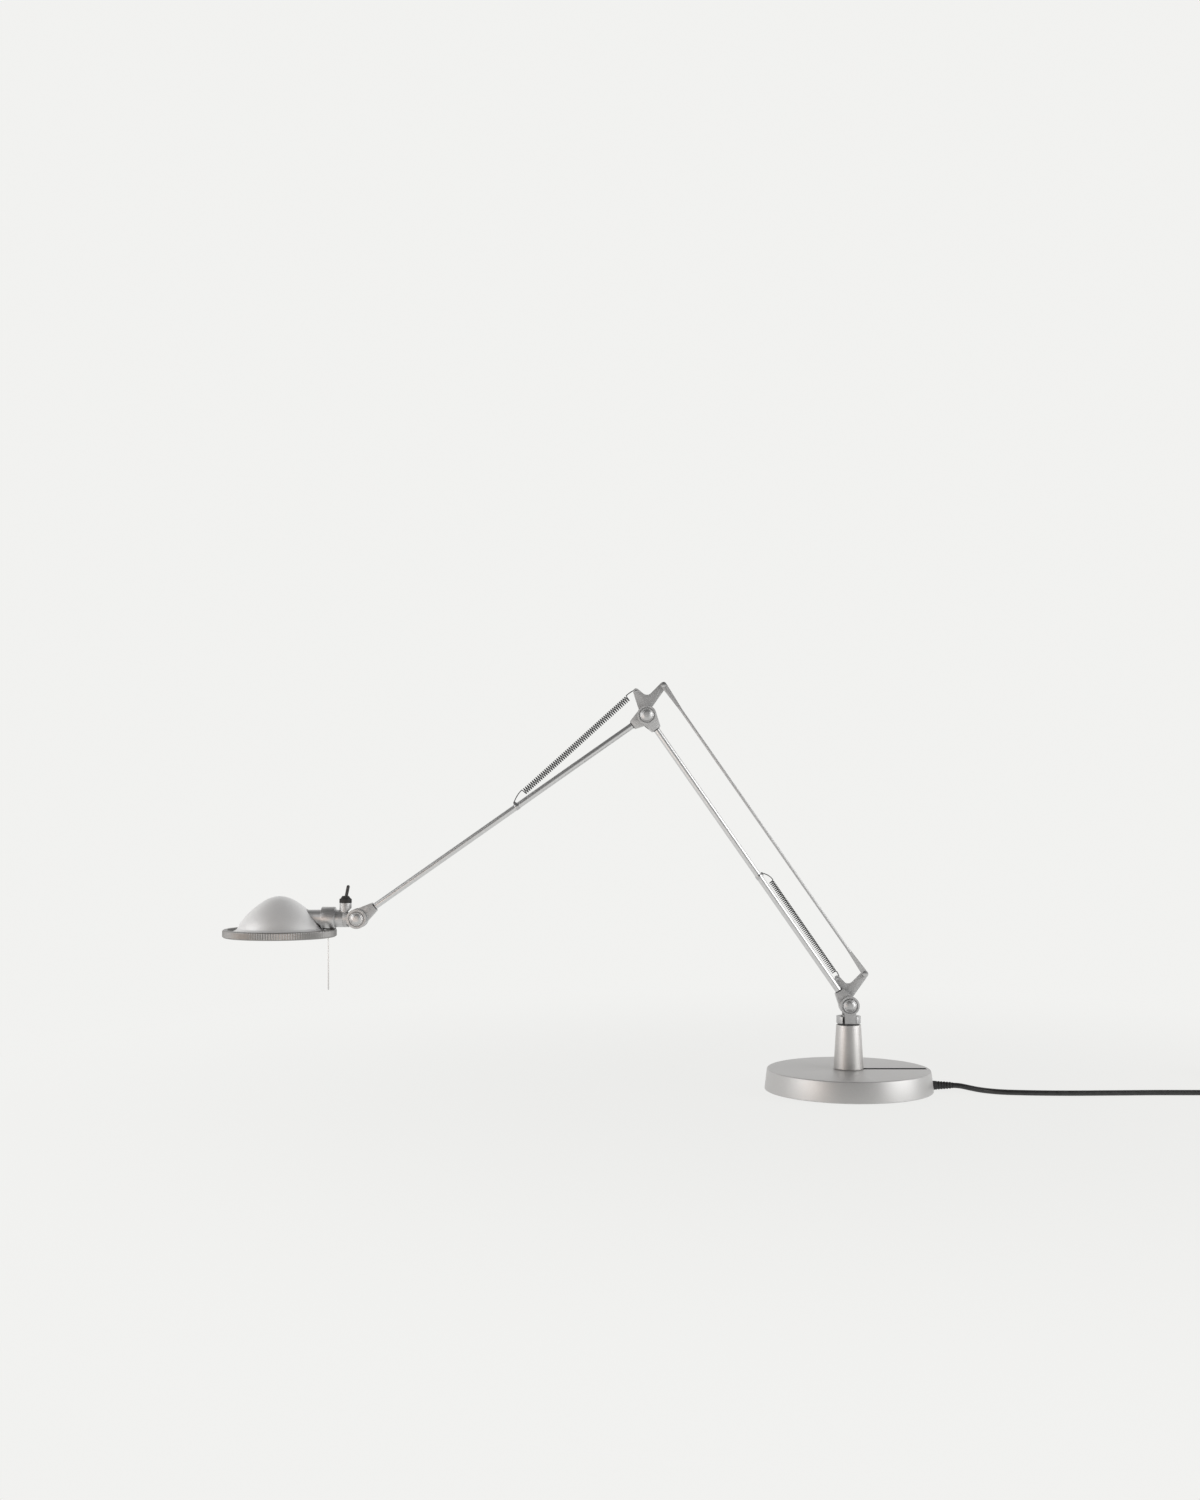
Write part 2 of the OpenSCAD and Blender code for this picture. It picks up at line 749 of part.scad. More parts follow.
// Outline of the dome, from the skirt to the middle of its top
dome_points = [[45.5, 0], [44.1, 0.8], [42.4, 1.8], [41, 3.4], [39.8, 5.6], [38, 8.6],
    [35.8, 11.8], [33.2, 15], [30.5, 17.9], [27.5, 20.8], [24, 23.8], [20, 26.8], [16, 29.5],
    [12, 31.7], [8, 33.2], [4, 34.2], [0, dome_top - skirt_z]];
function dome_side(i) = let(n = len(dome_points) - 1,
    d = dome_points[min(i + 1, n)] - dome_points[i - 1]) [d[1], -d[0]] / norm(d);
function dome_inside(i) = let(q = dome_points[i] - sheet * dome_side(i)) [max(q[0], 0), q[1]];

module dome_cover() {
    color("silver") difference() {
        translate([shade_x, 0, skirt_z]) rotate_extrude($fn = 180) polygon(concat(dome_points,
            [for (i = [len(dome_points) - 1:-1:2]) dome_inside(i)], [[44.3, 0]]));
        translate([head_x - collar_to + 1, 0, head_z]) rotate([0, -90, 0])
            cylinder(r = neck_r + gap, h = 24);
    }
}

module reflector() {
    color("white") translate([shade_x, 0, 0]) rotate_extrude($fn = 120)
        polygon([[40.6, skirt_z], [35, skirt_z + 1.6], [26, skirt_z + 6.8], [11, skirt_z + 14],
                 [11, skirt_z + 14.8], [26.4, skirt_z + 7.5], [35.2, skirt_z + 2.3],
                 [40.8, skirt_z + 0.7]]);
}

module lens() {
    color("lightblue", 0.4) translate([shade_x, 0, skirt_z - 2.2]) cylinder(r = 44, h = 2.2);
}

module lamp_holder() {
    color("white") translate([shade_x, 0, skirt_z + 14.8]) {
        cylinder(r = 12, h = 3);
        translate([0, 0, 3]) cylinder(r = 7, h = 9);
    }
}

module bulb() {
    color("white", 0.5) translate([shade_x, 0, 0]) {
        translate([0, 0, skirt_z + 5]) cylinder(r = 4.6, h = 9.8);
        translate([0, 0, skirt_z + 5]) sphere(4.6);
    }
}

module handle_rod() {
    color("gray") translate([handle_x, 0, handle_low]) {
        cylinder(r = handle_r, h = ring_top - handle_low);
        sphere(handle_r + 0.1);
    }
}

base_cover();
groove_inlay();
base_column();
column_nut();
ballast();
bottom_plate();
foot_pad();
bottom_screws();
swivel_bush();
stop_pin();
cord_gland();
cord_lead();
cord_coil();
cord_tail();
cord_tie();
adaptor_body();
adaptor_pins();
swivel_yoke();
swivel_clip();
stop_collar();
base_bracket();
base_pin();
base_caps();
base_rod_pin();
base_spring_pin();
lower_knuckle();
lower_tube();
lower_fork();
lower_sleeves();
lower_spring_post();
lower_spring();
parallel_rod();
elbow_bracket();
elbow_pin();
elbow_caps();
elbow_rod_pin();
elbow_spring_pin();
upper_knuckle();
upper_tube();
upper_end();
upper_sleeves();
upper_spring_post();
upper_spring();
neck_fork();
neck_tube();
neck_pin();
neck_caps();
switch_boot();
switch_lever();
head_collar();
collar_pad();
shade_ring();
ring_spokes();
dome_cover();
reflector();
lens();
lamp_holder();
bulb();
handle_rod();
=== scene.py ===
import json
import math

import bmesh
import bpy
from mathutils import Matrix, Vector

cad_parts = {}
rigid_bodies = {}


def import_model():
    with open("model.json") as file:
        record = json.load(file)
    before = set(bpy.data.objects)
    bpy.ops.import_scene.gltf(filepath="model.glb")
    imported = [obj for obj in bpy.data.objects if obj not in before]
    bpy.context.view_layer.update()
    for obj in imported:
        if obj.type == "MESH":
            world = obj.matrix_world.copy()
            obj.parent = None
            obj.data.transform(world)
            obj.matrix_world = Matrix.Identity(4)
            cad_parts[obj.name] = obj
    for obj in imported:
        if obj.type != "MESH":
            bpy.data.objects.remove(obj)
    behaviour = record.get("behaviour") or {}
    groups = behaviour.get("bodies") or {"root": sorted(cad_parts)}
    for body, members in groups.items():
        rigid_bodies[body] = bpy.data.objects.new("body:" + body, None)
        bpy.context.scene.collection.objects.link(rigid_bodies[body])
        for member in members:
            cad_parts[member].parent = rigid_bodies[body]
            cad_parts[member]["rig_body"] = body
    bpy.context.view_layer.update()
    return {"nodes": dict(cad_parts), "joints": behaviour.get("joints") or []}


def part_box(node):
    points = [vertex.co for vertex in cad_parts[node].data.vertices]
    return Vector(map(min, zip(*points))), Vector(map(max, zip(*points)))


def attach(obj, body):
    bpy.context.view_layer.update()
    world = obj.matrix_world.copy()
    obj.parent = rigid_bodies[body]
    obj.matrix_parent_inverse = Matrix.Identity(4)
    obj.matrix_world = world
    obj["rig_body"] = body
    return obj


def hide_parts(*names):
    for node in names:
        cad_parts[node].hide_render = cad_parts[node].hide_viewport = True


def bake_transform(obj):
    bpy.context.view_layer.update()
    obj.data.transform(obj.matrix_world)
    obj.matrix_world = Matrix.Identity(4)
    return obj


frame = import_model()
nodes = frame["nodes"]

# ---------------------------------------------------------------- camera
# Level camera square to the arms, a little above the middle of the lamp, with
# a small upward shift so that the lamp sits low in the frame.
camera_data = bpy.data.cameras.new("camera")
camera_data.lens = 39.0
camera_data.sensor_width = 36.0
camera_data.shift_y = 0.042
camera_data.clip_end = 50
camera = bpy.data.objects.new("camera", camera_data)
bpy.context.scene.collection.objects.link(camera)
camera.location = (-0.2464, -1.611, 0.2749)
camera.rotation_euler = (math.radians(90), 0, 0)
bpy.context.scene.camera = camera

# ---------------------------------------------------------------- power cord
# Round black low-voltage cord in soft PVC. It leaves the rubber gland at the
# back of the base, lies on the table, and its spare length is wound in a coil.
CORD_D = 0.0053
LIFT = 0.00005
LEAD_MM = [
    (103, 0, 5), (110, -1, 4.6), (118, -6, 3.6), (126, -13, 2.9), (135, -20, 2.7),
    (147, -26, 2.7), (162, -29, 2.7), (180, -31, 2.7), (200, -32, 2.7), (220, -32, 2.7),
    (245, -31, 2.7), (270, -30, 2.7), (295, -29, 2.7), (320, -29, 2.7), (345, -29, 2.7),
    (370, -29, 2.7), (392, -29.5, 2.7)]
TAIL_MM = [
    (448, 22, 8), (443, 31, 8), (436, 38, 8), (431, 45, 8), (430, 53, 8), (430, 58, 8)]
coil_low, coil_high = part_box("cord_coil")
coil_x = (coil_low.x + coil_high.x) / 2
coil_y = (coil_low.y + coil_high.y) / 2
coil_outer_turn = (coil_high.x - coil_low.x) / 2 - CORD_D / 2
TURNS_PER_LAYER = 4
POINTS_PER_TURN = 24
layer_z = (CORD_D / 2 + LIFT, CORD_D * 1.5 + LIFT)


def coil_points():
    """Four turns inwards on the table, then four turns outwards on top of them."""
    points = []
    count = TURNS_PER_LAYER * POINTS_PER_TURN
    last = 2 * count + POINTS_PER_TURN // 4
    for i in range(last + 1):
        angle = -math.pi / 2 + 2 * math.pi * i / POINTS_PER_TURN
        inward = min(i, count) if i <= count else max(2 * count - i, 0)
        radius = coil_outer_turn - CORD_D * 1.02 * (TURNS_PER_LAYER - 1) * inward / count
        climb = min(max((i - count + 6) / 12, 0), 1)
        z = layer_z[0] + (layer_z[1] - layer_z[0]) * climb
        points.append((coil_x + radius * math.cos(angle), coil_y + radius * math.sin(angle), z))
    return points


def cord_curve(name, points, diameter):
    """A round cord along the given points."""
    data = bpy.data.curves.new(name, "CURVE")
    data.dimensions = "3D"
    data.bevel_depth = diameter / 2
    data.bevel_resolution = 4
    data.resolution_u = 4
    data.use_fill_caps = True
    spline = data.splines.new("BEZIER")
    spline.bezier_points.add(len(points) - 1)
    for point, place in zip(spline.bezier_points, points):
        point.co = place
        point.handle_left_type = point.handle_right_type = "AUTO"
    piece = bpy.data.objects.new(name, data)
    bpy.context.scene.collection.objects.link(piece)
    return piece


lead = [tuple(v / 1000 for v in p) for p in LEAD_MM]
tail = [tuple(v / 1000 for v in p) for p in TAIL_MM]
cord_route = lead + coil_points() + tail
power_cord = cord_curve("power_cord", cord_route, CORD_D)


def new_material(name):
    """An empty node material with its Principled shader."""
    material = bpy.data.materials.new(name)
    material.use_nodes = True
    return material, material.node_tree.nodes, material.node_tree.links


def mottled(name, tones, scale, rough, metallic=0.0, grain=0, depth=0.0, stretch=(1, 1, 1), **sockets):
    """A finish whose tone drifts between two values, with a fine grain if one is given."""
    material, parts, links = new_material(name)
    shader = parts["Principled BSDF"]
    shader.inputs["Metallic"].default_value = metallic
    for socket, value in sockets.items():
        shader.inputs[socket.replace("_", " ")].default_value = value
    place = parts.new("ShaderNodeTexCoord")
    mapping = parts.new("ShaderNodeMapping")
    mapping.inputs["Scale"].default_value = stretch
    links.new(place.outputs["Object"], mapping.inputs["Vector"])
    drift = parts.new("ShaderNodeTexNoise")
    drift.inputs["Scale"].default_value = scale
    drift.inputs["Detail"].default_value = 4
    links.new(mapping.outputs["Vector"], drift.inputs["Vector"])
    tone = parts.new("ShaderNodeValToRGB")
    tone.color_ramp.elements[0].position = 0.35
    tone.color_ramp.elements[1].position = 0.65
    tone.color_ramp.elements[0].color = (*tones[0], 1)
    tone.color_ramp.elements[1].color = (*tones[1], 1)
    links.new(drift.outputs["Fac"], tone.inputs["Fac"])
    links.new(tone.outputs["Color"], shader.inputs["Base Color"])
    shine = parts.new("ShaderNodeMapRange")
    shine.inputs["To Min"].default_value = rough[0]
    shine.inputs["To Max"].default_value = rough[1]
    links.new(drift.outputs["Fac"], shine.inputs["Value"])
    links.new(shine.outputs["Result"], shader.inputs["Roughness"])
    if grain:
        fine = parts.new("ShaderNodeTexNoise")
        fine.inputs["Scale"].default_value = grain
        fine.inputs["Detail"].default_value = 3
        links.new(mapping.outputs["Vector"], fine.inputs["Vector"])
        bump = parts.new("ShaderNodeBump")
        bump.inputs["Strength"].default_value = 0.35
        bump.inputs["Distance"].default_value = depth
        links.new(fine.outputs["Fac"], bump.inputs["Height"])
        links.new(bump.outputs["Normal"], shader.inputs["Normal"])
    return material


def grey(value, warm=0.0):
    """A near-neutral colour."""
    return (value * (1 + warm), value, value * (1 - warm))


black_cord = mottled("soft_black_cord", (grey(0.012), grey(0.022)), 180, (0.38, 0.5),
                     grain=1600, depth=0.00004, Coat_Weight=0.15)
power_cord.data.materials.append(black_cord)
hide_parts("cord_lead", "cord_coil", "cord_tail")
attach(power_cord, "base")


# ---------------------------------------------------------------- studio
# A pale table top in front of a pale backdrop, with a large soft box on each
# side. It is dark above and behind the camera, and bare metal shows it. A
# weak warm light low on the left tints that side of the base and column.
BACKDROP = (0.885, 0.885, 0.87, 1)
floor_mesh = bmesh.new()
bmesh.ops.create_grid(floor_mesh, x_segments=1, y_segments=1, size=12)
floor_data = bpy.data.meshes.new("floor")
floor_mesh.to_mesh(floor_data)
floor_mesh.free()
floor = bpy.data.objects.new("floor", floor_data)
bpy.context.scene.collection.objects.link(floor)
table_top = mottled("pale_table", (grey(0.60), grey(0.61)), 3, (0.6, 0.7))
table_parts, table_links = table_top.node_tree.nodes, table_top.node_tree.links
glow = table_parts.new("ShaderNodeEmission")
glow.inputs["Color"].default_value = BACKDROP
from_middle = table_parts.new("ShaderNodeVectorMath")
from_middle.operation = "LENGTH"
table_links.new(table_parts["Texture Coordinate"].outputs["Object"], from_middle.inputs[0])
fade = table_parts.new("ShaderNodeMapRange")
fade.interpolation_type = "SMOOTHSTEP"
fade.inputs["From Min"].default_value = 0.15
fade.inputs["From Max"].default_value = 0.95
fade.inputs["To Min"].default_value = 0.90
table_links.new(from_middle.outputs["Value"], fade.inputs["Value"])
both = table_parts.new("ShaderNodeMixShader")
table_links.new(fade.outputs["Result"], both.inputs["Fac"])
table_links.new(table_parts["Principled BSDF"].outputs["BSDF"], both.inputs[1])
table_links.new(glow.outputs["Emission"], both.inputs[2])
table_links.new(both.outputs["Shader"], table_parts["Material Output"].inputs["Surface"])
floor.data.materials.append(table_top)

world = bpy.data.worlds.new("studio")
bpy.context.scene.world = world
world.use_nodes = True
sky, sky_links = world.node_tree.nodes, world.node_tree.links
sky_light = sky["Background"]
direction = sky.new("ShaderNodeTexCoord")
facing = sky.new("ShaderNodeVectorMath")
facing.operation = "DOT_PRODUCT"
facing.inputs[1].default_value = (0, -0.50, 0.87)
sky_links.new(direction.outputs["Generated"], facing.inputs[0])
dark_side = sky.new("ShaderNodeMapRange")
dark_side.interpolation_type = "SMOOTHSTEP"
dark_side.inputs["From Min"].default_value = -0.05
dark_side.inputs["From Max"].default_value = 0.85
dark_side.inputs["To Min"].default_value = 0.95
dark_side.inputs["To Max"].default_value = 0.14
sky_links.new(facing.outputs["Value"], dark_side.inputs["Value"])
sky_light.inputs["Color"].default_value = (1.0, 0.995, 0.985, 1)
sky_links.new(dark_side.outputs["Result"], sky_light.inputs["Strength"])
plain = sky.new("ShaderNodeBackground")
plain.inputs["Color"].default_value = BACKDROP
ray = sky.new("ShaderNodeLightPath")
choose = sky.new("ShaderNodeMixShader")
sky_links.new(ray.outputs["Is Camera Ray"], choose.inputs["Fac"])
sky_links.new(sky_light.outputs["Background"], choose.inputs[1])
sky_links.new(plain.outputs["Background"], choose.inputs[2])
sky_links.new(choose.outputs["Shader"], sky["World Output"].inputs["Surface"])
bpy.context.scene.view_settings.view_transform = "Standard"


def soft_light(name, place, target, size, watts):
    """A rectangular soft box aimed at a point."""
    data = bpy.data.lights.new(name, "AREA")
    data.shape = "RECTANGLE"
    data.size, data.size_y = size
    data.energy = watts
    light = bpy.data.objects.new(name, data)
    bpy.context.scene.collection.objects.link(light)
    light.location = place
    light.rotation_euler = (Vector(target) - Vector(place)).to_track_quat("-Z", "Y").to_euler()
    return light


soft_light("key_right", (1.9, -0.8, 0.8), (-0.1, 0, 0.15), (1.8, 1.8), 30)
soft_light("fill_left", (-2.3, -0.8, 0.8), (-0.3, 0, 0.15), (1.8, 1.8), 20)
warm_glow = soft_light("warm_glow", (-0.75, -0.55, 0.12), (-0.05, 0, 0.03), (0.6, 0.3), 0.6)
warm_glow.data.color = (1.0, 0.74, 0.58)

# ---------------------------------------------------------------- finishes of the CAD parts
# Brackets, end blocks and base are metallic grey paint; the arms are drawn
# silver tube and the head is satin silver; pins and screws are bright steel;
# sleeves, pads and rubber are black. The black of the tube sleeves is painted
# shade where the tubes enter their blocks.
grey_paint = mottled("metallic_grey_paint", (grey(0.46), grey(0.49)), 300, (0.44, 0.50), metallic=0.6)
base_paint = mottled("base_grey_paint", (grey(0.48, 0.01), grey(0.50, 0.01)), 900, (0.38, 0.46),
                     metallic=0.6, grain=2400, depth=0.000006)
head_silver = mottled("head_satin_silver", (grey(0.50), grey(0.54)), 300, (0.38, 0.44), metallic=0.92)
tube_silver = mottled("drawn_tube_silver", (grey(0.62), grey(0.66)), 300, (0.28, 0.32), metallic=1.0)
ring_silver = mottled("ring_dull_silver", (grey(0.25, 0.02), grey(0.28, 0.02)), 900, (0.38, 0.46),
                      metallic=0.8, grain=2400, depth=0.000005)
# Black strip for the cover's groove, near-black and almost without reflection: it also paints the shade
# inside the groove.
groove_strip_and_shade = mottled("black_strip_and_painted_groove_shade", (grey(0.004), grey(0.007)), 300, (0.85, 0.95),
                     Specular_IOR_Level=0.02)
bright_steel = mottled("bright_steel", (grey(0.50), grey(0.56)), 900, (0.2, 0.3), metallic=1.0)
spring_steel = mottled("dark_spring_steel", (grey(0.045), grey(0.09)), 500, (0.35, 0.5), metallic=1.0,
                       grain=3000, depth=0.00001)
black_rubber = mottled("matt_black_rubber", (grey(0.012), grey(0.024)), 200, (0.6, 0.75),
                       grain=1500, depth=0.00004)
black_plastic = mottled("textured_black_plastic", (grey(0.016), grey(0.03)), 300, (0.4, 0.5),
                        grain=3000, depth=0.00004)
cast_iron = mottled("rough_cast_iron", (grey(0.03), grey(0.09)), 300, (0.6, 0.8), metallic=0.6,
                    grain=700, depth=0.0003)
# The swivel bush is drawn black to paint the dark shadow gap under the stop collar, on top of the column.
bush_black_as_shadow = mottled("nylon_black_painted_shadow", (grey(0.02), grey(0.03)), 200, (0.4, 0.5))
ceramic = mottled("white_ceramic", (grey(0.75, 0.02), grey(0.8, 0.02)), 150, (0.5, 0.6),
                  grain=1200, depth=0.00003)
mirror = mottled("spun_reflector", (grey(0.8), grey(0.88)), 200, (0.12, 0.2), metallic=1.0)
frosted = mottled("frosted_glass", (grey(0.9), grey(0.95)), 300, (0.3, 0.4),
                  grain=1500, depth=0.00003, Transmission_Weight=0.85, IOR=1.45)

FINISH = {
    grey_paint: ["swivel_yoke", "stop_collar", "base_bracket", "base_caps", "lower_knuckle",
                 "lower_fork", "parallel_rod", "elbow_bracket", "elbow_caps", "upper_knuckle",
                 "upper_end", "neck_fork", "neck_caps"],
    tube_silver: ["lower_tube", "upper_tube"],
    groove_strip_and_shade: ["groove_inlay"],
    base_paint: ["base_cover", "base_column"],
    head_silver: ["neck_tube", "head_collar", "shade_ring", "ring_spokes", "dome_cover"],
    bright_steel: ["column_nut", "bottom_plate", "bottom_screws", "stop_pin", "adaptor_pins",
                   "swivel_clip", "base_pin", "base_rod_pin", "base_spring_pin",
                   "lower_spring_post", "elbow_pin", "elbow_rod_pin", "elbow_spring_pin",
                   "upper_spring_post", "neck_pin", "handle_rod"],
    spring_steel: ["lower_spring", "upper_spring"],
    black_rubber: ["foot_pad", "cord_gland", "switch_boot"],
    # The tube sleeves are drawn black to paint the shade at the tube ends.
    black_plastic: ["cord_tie", "adaptor_body", "lower_sleeves", "upper_sleeves", "switch_lever",
                    "collar_pad"],
    cast_iron: ["ballast"],
    bush_black_as_shadow: ["swivel_bush"],
    ceramic: ["lamp_holder"],
    mirror: ["reflector"],
    frosted: ["lens", "bulb"],
}
for finish, names in FINISH.items():
    for name in names:
        nodes[name].data.materials.clear()
        nodes[name].data.materials.append(finish)

# ---------------------------------------------------------------- base cover
# Pressed steel cover, painted metallic grey: drafted wall, rolled top edge and
# one straight groove from the column to the rim, filled with a black strip. The
# strip is drawn near-black and without shine, so it also paints the shade down in
# the groove.


def rounded(points, radius, closed=True):
    """The outline with each corner turned into a short curve."""
    result = []
    for i, corner in enumerate(points):
        if not closed and i in (0, len(points) - 1):
            result.append(Vector(corner))
            continue
        corner = Vector(corner)
        before = Vector(points[i - 1])
        after = Vector(points[(i + 1) % len(points)])
        reach = min(radius, (before - corner).length * 0.45, (after - corner).length * 0.45)
        a = corner + (before - corner).normalized() * reach
        b = corner + (after - corner).normalized() * reach
        for t in (0, 0.25, 0.5, 0.75, 1):
            result.append(a * (1 - t) ** 2 + corner * 2 * t * (1 - t) + b * t * t)
    return result


def spun(outline, steps=128, closed=True):
    """A mesh turned round Z from an outline of (radius, height)."""
    shape = bmesh.new()
    line = [shape.verts.new((p[0], 0, p[1])) for p in outline]
    for a, b in zip(line, line[1:]):
        shape.edges.new((a, b))
    if closed:
        shape.edges.new((line[-1], line[0]))
    bmesh.ops.spin(shape, geom=shape.verts[:] + shape.edges[:], cent=(0, 0, 0), axis=(0, 0, 1),
                   angle=math.tau, steps=steps, use_merge=True, use_duplicate=False)
    bmesh.ops.remove_doubles(shape, verts=shape.verts[:], dist=1e-6)
    bmesh.ops.recalc_face_normals(shape, faces=shape.faces[:])
    return shape


def finished(name, shape, material, body, slot, *replaced, crease=35):
    """Makes the mesh a piece that moves with a body and stands for CAD nodes."""
    for face in shape.faces:
        face.smooth = True
    for edge in shape.edges:
        edge.smooth = len(edge.link_faces) == 2 and edge.calc_face_angle(0) < math.radians(crease)
    data = bpy.data.meshes.new(name)
    shape.to_mesh(data)
    shape.free()
    piece = bpy.data.objects.new(name, data)
    bpy.context.scene.collection.objects.link(piece)
    data.materials.append(material)
    if body:
        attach(piece, body)
    if replaced:
        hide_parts(*replaced)
    return piece


cover_low, cover_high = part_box("base_cover")
cover_r = (cover_high.x - cover_low.x) / 2
cover_draft = 0.0025
sheet = 0.0016
bore_r = 0.012
cover_outline = rounded([
    (bore_r, cover_high.z - sheet), (cover_r - cover_draft - sheet, cover_high.z - sheet),
    (cover_r - sheet, cover_low.z), (cover_r, cover_low.z),
    (cover_r - cover_draft, cover_high.z), (bore_r, cover_high.z)], 0.0013)
cover = spun(cover_outline, 240)
groove_low, groove_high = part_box("groove_inlay")
groove_half = (groove_high.y - groove_low.y) / 2
for place, normal in (((0, groove_half, 0), (0, 1, 0)), ((0, -groove_half, 0), (0, 1, 0)),
                      ((groove_high.x, 0, 0), (1, 0, 0)), ((groove_low.x - 0.001, 0, 0), (1, 0, 0))):
    bmesh.ops.bisect_plane(cover, geom=cover.verts[:] + cover.edges[:] + cover.faces[:],
                           dist=1e-7, plane_co=place, plane_no=normal)


def in_groove(face):
    """True for the top faces that lie over the groove."""
    middle = face.calc_center_median()
    return (abs(middle.y) < groove_half and groove_low.x - 0.001 < middle.x < groove_high.x
            and middle.z > cover_high.z - 0.0002)


sunk = bmesh.ops.extrude_face_region(cover, geom=[f for f in cover.faces if in_groove(f)])
bmesh.ops.translate(cover, vec=(0, 0, -0.0010),
                    verts=[v for v in sunk["geom"] if isinstance(v, bmesh.types.BMVert)])
bmesh.ops.delete(cover, geom=[f for f in cover.faces if in_groove(f)], context="FACES_ONLY")
finished("cover", cover, base_paint, "base", "base_paint", "base_cover")

# ---------------------------------------------------------------- column
# Turned and tapered alloy sleeve, satin finished round its axis, with a small
# chamfer at the top and a fine shadow line where it stands on the cover.
column_low, column_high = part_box("base_column")
column_r = (column_high.x - column_low.x) / 2
column_top_r = column_r - 0.0026
column_bore = 0.008
turned_silver = mottled("turned_satin_silver", (grey(0.50, 0.02), grey(0.54, 0.02)), 500, (0.42, 0.50),
                        metallic=0.85, grain=1800, depth=0.000001, stretch=(0.3, 0.3, 3))
column = spun(rounded([
    (column_bore, cover_high.z), (column_r - 0.0008, cover_high.z),
    (column_r - 0.0008, cover_high.z + 0.0004), (column_r, cover_high.z + 0.0007),
    (column_top_r, column_high.z), (column_bore, column_high.z)], 0.0006), 160)
finished("column", column, turned_silver, "base", "base_paint", "base_column")

# ---------------------------------------------------------------- joints, brackets and arms
# Die-cast and stamped alloy parts in metallic grey paint, and the small steel
# fittings on them. Their edges are broken, to catch a fine line of light.


def softened(node, material, slot, width):
    """A copy of a CAD part with its sharp edges rounded."""
    shape = bmesh.new()
    shape.from_mesh(nodes[node].data)
    bmesh.ops.remove_doubles(shape, verts=shape.verts[:], dist=2e-6)
    bmesh.ops.dissolve_limit(shape, angle_limit=math.radians(1), verts=shape.verts[:],
                             edges=shape.edges[:], use_dissolve_boundaries=False)
    sharp = [e for e in shape.edges
             if len(e.link_faces) == 2 and e.calc_face_angle(0) > math.radians(32)]
    bmesh.ops.bevel(shape, geom=sharp, offset=width, offset_type="OFFSET", segments=2, profile=0.5,
                    affect="EDGES", clamp_overlap=True, material=-1)
    return finished(node + "_part", shape, material, nodes[node]["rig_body"], slot, node, crease=28)


for block in ("stop_collar", "lower_fork", "neck_fork", "swivel_yoke",
              "lower_knuckle", "upper_knuckle", "upper_end"):
    softened(block, grey_paint, "arm_alloy", 0.0004)
for plate in ("base_bracket", "elbow_bracket", "parallel_rod"):
    softened(plate, grey_paint, "arm_alloy", 0.00025)
for fitting in ("base_rod_pin", "elbow_rod_pin", "base_spring_pin", "elbow_spring_pin",
                "lower_spring_post", "upper_spring_post"):
    softened(fitting, bright_steel, "steel", 0.00015)

# ---------------------------------------------------------------- springs
# Extension springs in dark oiled wire, behind the arms. One end hooks over the
# pin on the bracket's ear; the other arches down to the stud on the arm.
WIRE_SIDES = 8
POINTS_PER_COIL = 14
SPRING_Y = 0.0076


def wire_run(shape, points, radius):
    """A round wire through the points, closed at both ends."""
    heading = (points[1] - points[0]).normalized()
    turn = heading.to_track_quat("Z", "Y").to_matrix().to_4x4()
    ring = bmesh.ops.create_circle(shape, cap_ends=True, radius=radius, segments=WIRE_SIDES,
                                   matrix=Matrix.Translation(points[0]) @ turn)["verts"]
    edges = list({e for v in ring for e in v.link_edges})
    for i in range(1, len(points)):
        onward = (points[min(i + 1, len(points) - 1)] - points[i - 1]).normalized()
        grown = bmesh.ops.extrude_edge_only(shape, edges=edges)["geom"]
        ring = [g for g in grown if isinstance(g, bmesh.types.BMVert)]
        edges = [g for g in grown if isinstance(g, bmesh.types.BMEdge)]
        bmesh.ops.translate(shape, vec=points[i] - points[i - 1], verts=ring)
        bmesh.ops.rotate(shape, cent=points[i], verts=ring,
                         matrix=heading.rotation_difference(onward).to_matrix())
        heading = onward
    bmesh.ops.contextual_create(shape, geom=edges)


def loop_points(centre, ahead, aside, radius, start, stop):
    """An open loop round a pin, in the plane of two directions."""
    angles = [math.radians(start + (stop - start) * k / POINTS_PER_COIL)
              for k in range(POINTS_PER_COIL + 1)]
    return [centre + radius * (math.cos(a) * ahead + math.sin(a) * aside) for a in angles]


def arch_points(start, bend, stop, steps=7):
    """A curve that leaves one place toward the bend and ends at another."""
    return [start * (1 - t) ** 2 + bend * 2 * t * (1 - t) + stop * t * t
            for t in (k / steps for k in range(1, steps))]


def spring(name, pivot, along, up, coil, hooks, radius, wire, pitch, loops, reach, node):
    """An extension spring given in its arm's own axes, as (along, up) places."""
    across = Vector((0, 1, 0))

    def place(point):
        return pivot + along * point[0] + up * point[1] + across * SPRING_Y

    start, end = place(coil[0]), place(coil[1])
    axis = (end - start).normalized()
    side = axis.cross(across).normalized()
    if side.dot(up) < 0:
        side = -side
    length = (end - start).length
    total = int(length / pitch) * POINTS_PER_COIL
    mid_r = radius - wire
    points = loop_points(place(hooks[0]), -axis, side, loops[0], -120, 80)
    points += arch_points(points[-1], start + side * mid_r - axis * reach[0], start + side * mid_r)
    for k in range(total + 1):
        angle = math.tau * k / POINTS_PER_COIL
        points.append(start + axis * (length * k / total)
                      + mid_r * (math.cos(angle) * side + math.sin(angle) * across))
    round_post = loop_points(place(hooks[1]), axis, side, loops[1], 90, -150)
    points += arch_points(points[-1], end + side * mid_r + axis * reach[1], round_post[0]) + round_post
    shape = bmesh.new()
    wire_run(shape, points, wire)
    bmesh.ops.recalc_face_normals(shape, faces=shape.faces[:])
    piece = finished(name, shape, spring_steel, None, "spring_steel", node, crease=60)
    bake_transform(piece)
    return piece


